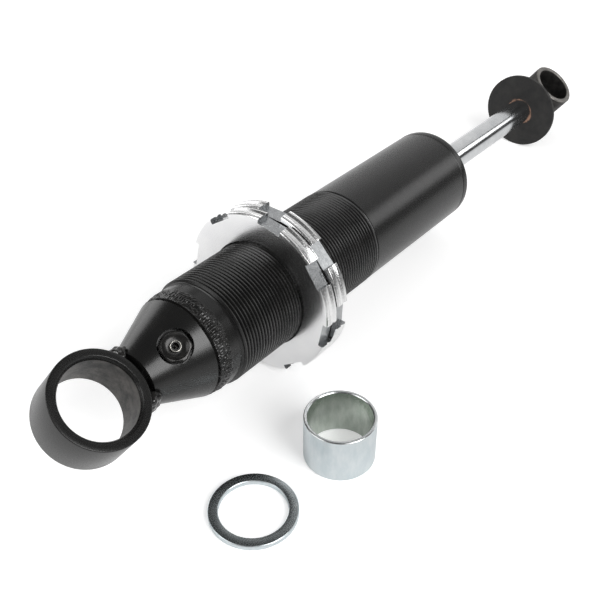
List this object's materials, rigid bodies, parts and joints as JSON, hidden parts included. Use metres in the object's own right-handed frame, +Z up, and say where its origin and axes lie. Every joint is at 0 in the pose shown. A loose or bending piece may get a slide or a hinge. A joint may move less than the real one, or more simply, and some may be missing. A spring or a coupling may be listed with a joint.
{
  "type": "shock absorber",
  "caption": "Gas-charged monotube coil-over shock absorber with threaded body, notched spring and lock nuts, chromed rod, an eye at each end, and a loose sleeve and ring.",
  "frame": {"origin": "centre of the lower eye's bore", "axes": "+Z up from the surface the damper lies on; +X from the lower eye towards the upper eye, level, with the damper sloping down 3.8 degrees along it; +Y to the left of +X"},
  "size_m": [0.461, 0.1309, 0.0863],
  "materials": {
    "black_coated_steel": "satin",
    "dark_valve_steel": "satin",
    "valve_brass": "satin",
    "black_rubber": "matte",
    "spring_steel": "satin",
    "turned_aluminium": "turned",
    "bearing_bronze": "satin",
    "chromed_rod": "polished",
    "plain_steel": "satin",
    "white_bearing_plastic": "matte",
    "raw_dark_steel": "as welded",
    "bright_aluminium": "machined",
    "zinc_plated_steel": "zinc plated"
  },
  "bodies": {
    "damper_body": {"lower_eye": "black_coated_steel", "lower_eye_welds": "black_coated_steel", "base_cone": "black_coated_steel", "base_weld_ring": "black_coated_steel", "gas_valve_body": "dark_valve_steel", "gas_valve_core": "valve_brass", "gas_valve_seal": "black_rubber", "body_tube": "black_coated_steel", "end_cap": "black_coated_steel", "wiper_seal": "black_rubber", "circlip": "spring_steel", "seal_head": "turned_aluminium", "seal_head_o_ring": "black_rubber", "guide_bush": "bearing_bronze", "rod_seal": "black_rubber"},
    "piston_band": {"piston_band": "white_bearing_plastic"},
    "rod": {"piston_rod": "chromed_rod", "rebound_bumper": "black_rubber", "stop_plate": "plain_steel", "compression_shims": "spring_steel", "piston": "plain_steel", "rebound_shims": "spring_steel", "piston_nut": "plain_steel", "stop_washer": "raw_dark_steel", "upper_eye_weld": "raw_dark_steel", "upper_eye": "raw_dark_steel"},
    "floating_piston": {"floating_piston": "turned_aluminium", "floating_piston_o_ring": "black_rubber", "floating_piston_band": "white_bearing_plastic"},
    "spring_nut": {"spring_nut": "bright_aluminium"},
    "lock_nut": {"lock_nut": "bright_aluminium"},
    "valve_pin": {"gas_valve_pin": "valve_brass"},
    "loose_sleeve": {"loose_sleeve": "zinc_plated_steel"},
    "loose_ring": {"loose_ring": "zinc_plated_steel"}
  },
  "joints": [
    {"name": "rod_slide", "type": "slide", "parent": "damper_body", "child": "piston_band", "axis": [0.9978, 0, -0.066], "range_m": [-0.105, 0], "stiffness_N_per_m": 800, "springref_m": 0.25},
    {"name": "rod_spin", "type": "hinge", "parent": "piston_band", "child": "rod", "pos_m": [0, 0, 0], "axis": [0.9978, 0, -0.066], "continuous": true},
    {"name": "floating_piston_slide", "type": "slide", "parent": "damper_body", "child": "floating_piston", "axis": [0.9978, 0, -0.066], "range_m": [-0.014, 0]},
    {"name": "spring_nut_slide", "type": "slide", "parent": "damper_body", "child": "spring_nut", "axis": [0.9978, 0, -0.066], "range_m": [-0.028, 0.048]},
    {"name": "lock_nut_slide", "type": "slide", "parent": "spring_nut", "child": "lock_nut", "axis": [0.9978, 0, -0.066], "range_m": [-0.01, 0]},
    {"name": "valve_pin_press", "type": "slide", "parent": "damper_body", "child": "valve_pin", "axis": [-0.3431, -0.5561, 0.757], "range_m": [-0.001, 0], "stiffness_N_per_m": 1000},
    {"name": "sleeve_lift", "type": "slide", "parent": "damper_body", "child": "loose_sleeve", "axis": [0, 0, 1], "range_m": [0, 0.06]},
    {"name": "ring_lift", "type": "slide", "parent": "damper_body", "child": "loose_ring", "axis": [0, 0, 1], "range_m": [0, 0.04]}
  ],
  "couplings": [
    {"joint": "floating_piston_slide", "follows": "rod_slide", "ratio": 0.12098}
  ]
}
